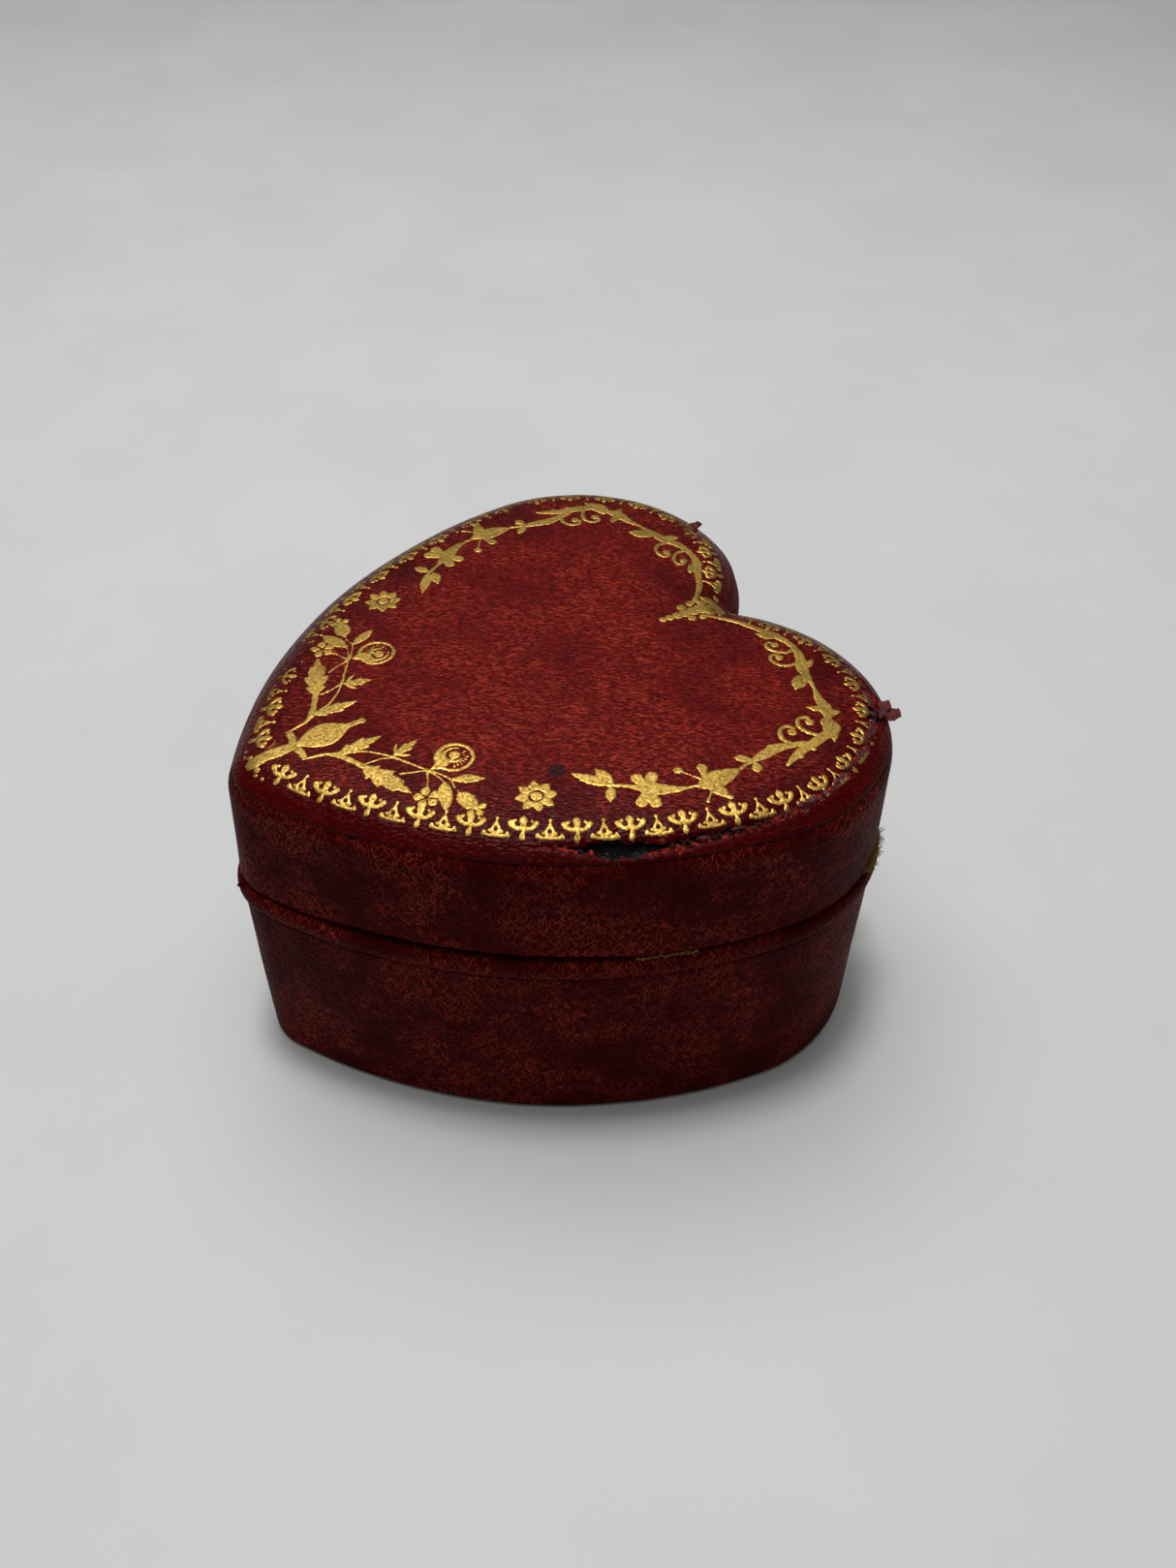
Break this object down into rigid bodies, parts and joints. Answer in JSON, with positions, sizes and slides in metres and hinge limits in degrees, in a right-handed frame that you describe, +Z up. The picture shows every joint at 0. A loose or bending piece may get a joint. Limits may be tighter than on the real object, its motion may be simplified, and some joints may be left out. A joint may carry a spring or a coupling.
{
  "type": "heart-shaped leather jewellery case",
  "caption": "Heart-shaped leather-covered jewellery case with a domed, gilt-tooled lid on small brass hinges, a raised rim bead and a padded velvet and satin lining.",
  "frame": {"origin": "on the resting face, under the middle of the whole case", "axes": "+Z up, +Y from the heart's tip towards its two lobes and the hinges, X across the lobes; the outline is mirrored in the plane X = 0"},
  "size_m": [0.0774, 0.0794, 0.0476],
  "materials": {
    "red_leather": "polished straight-grain goatskin, worn",
    "lime_wood": "planed, unvarnished",
    "card": "pressed board",
    "velvet": "short-pile silk velvet",
    "satin": "silk satin",
    "wadding": "cotton wadding",
    "paper": "dark paper-backed skiver",
    "brass": "aged, hand-rubbed",
    "gilt": "gold leaf tooled into leather"
  },
  "bodies": {
    "base": {"base_sole": "paper", "base_floor_board": "lime_wood", "base_wall_core": "lime_wood", "base_side_leather": "red_leather", "base_rim_bead": "red_leather", "base_collar": "card", "base_collar_velvet": "velvet", "base_wadding": "wadding", "base_pad_board": "card", "base_velvet_pad": "velvet", "hinge_leaf_base_left": "brass", "hinge_leaf_base_right": "brass", "hinge_pin_left": "brass", "hinge_pin_right": "brass", "nail_base_left_1": "brass", "nail_base_left_2": "brass", "nail_base_right_1": "brass", "nail_base_right_2": "brass"},
    "lid": {"lid_wall_core": "lime_wood", "lid_top_board": "lime_wood", "lid_side_leather": "red_leather", "lid_top_leather": "red_leather", "lid_lining_board": "card", "lid_wall_lining": "satin", "lid_satin_pad": "satin", "hinge_leaf_lid_left": "brass", "hinge_leaf_lid_right": "brass", "nail_lid_left_1": "brass", "nail_lid_left_2": "brass", "nail_lid_right_1": "brass", "nail_lid_right_2": "brass"}
  },
  "joints": [
    {"name": "lid_hinge", "type": "hinge", "parent": "base", "child": "lid", "pos_m": [0, 0.0386, 0.0292], "axis": [-1, 0, 0], "range_deg": [0, 100]}
  ]
}
